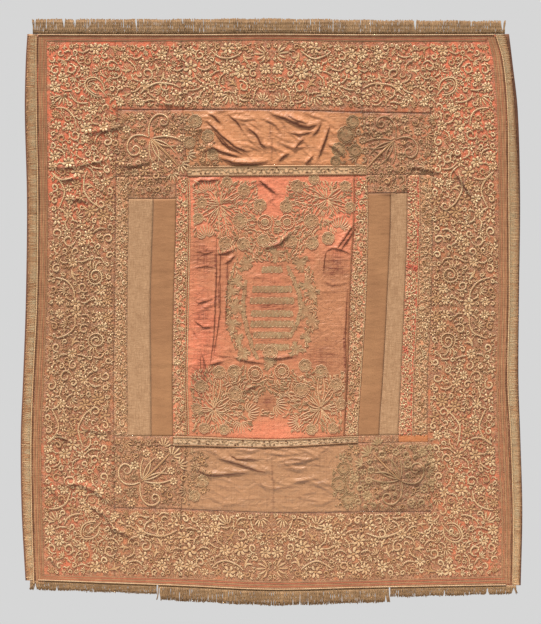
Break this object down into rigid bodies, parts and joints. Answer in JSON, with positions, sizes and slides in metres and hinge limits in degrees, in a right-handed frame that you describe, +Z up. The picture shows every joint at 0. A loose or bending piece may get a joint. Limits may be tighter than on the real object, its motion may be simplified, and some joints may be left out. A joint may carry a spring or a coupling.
{
  "type": "torah ark curtain",
  "caption": "Embroidered silk Torah ark curtain that hangs flat from its top edge, with metal fringe on all sides.",
  "frame": {"origin": "middle of the curtain's top edge, at the back of the lining, where it hangs", "axes": "+Z up along the curtain, +X to the right as seen from the front, the embroidered face looks along -Y"},
  "size_m": [1.6288, 0.0161, 1.9095],
  "materials": {
    "border": "salmon silk satin covered with raised gilt and silver thread embroidery, worn",
    "satin": "plain salmon silk satin, creased and lustrous",
    "centre": "bright salmon silk satin with grey-green thread embroidery, worn",
    "tan": "plain tan silk twill",
    "linen": "pale linen weave",
    "brocade": "narrow strip of close grey-green thread embroidery",
    "red": "coral red silk with close embroidery",
    "galloon": "woven metal-thread galloon, dulled",
    "fringe": "tarnished metal-thread fringe",
    "side_fringe": "tarnished metal-thread fringe laid flat on the lining's margin",
    "lining": "brown silk lining, matt"
  },
  "bodies": {
    "root": {"lining": "lining", "border_left": "border", "border_right": "border", "border_top_left": "border", "border_top_centre": "border", "border_top_right": "border", "border_bottom_left": "border", "border_bottom_centre": "border", "border_bottom_right": "border", "field_top_left": "border", "field_top_centre": "satin", "field_top_right": "border", "field_bottom_left": "border", "field_bottom_centre": "satin", "field_bottom_right": "border", "lace_left": "brocade", "linen_left": "linen", "tan_left": "tan", "brocade_left": "brocade", "centre_panel": "centre", "brocade_right": "brocade", "tan_right": "tan", "linen_right": "linen", "red_right": "red", "grey_right": "brocade", "slip_right": "satin", "galloon_top": "galloon", "galloon_bottom": "galloon", "fringe_left": "side_fringe", "fringe_right": "side_fringe", "fringe_top": "fringe", "fringe_bottom_left": "fringe", "fringe_bottom_centre": "fringe", "fringe_bottom_right": "fringe"}
  },
  "joints": []
}
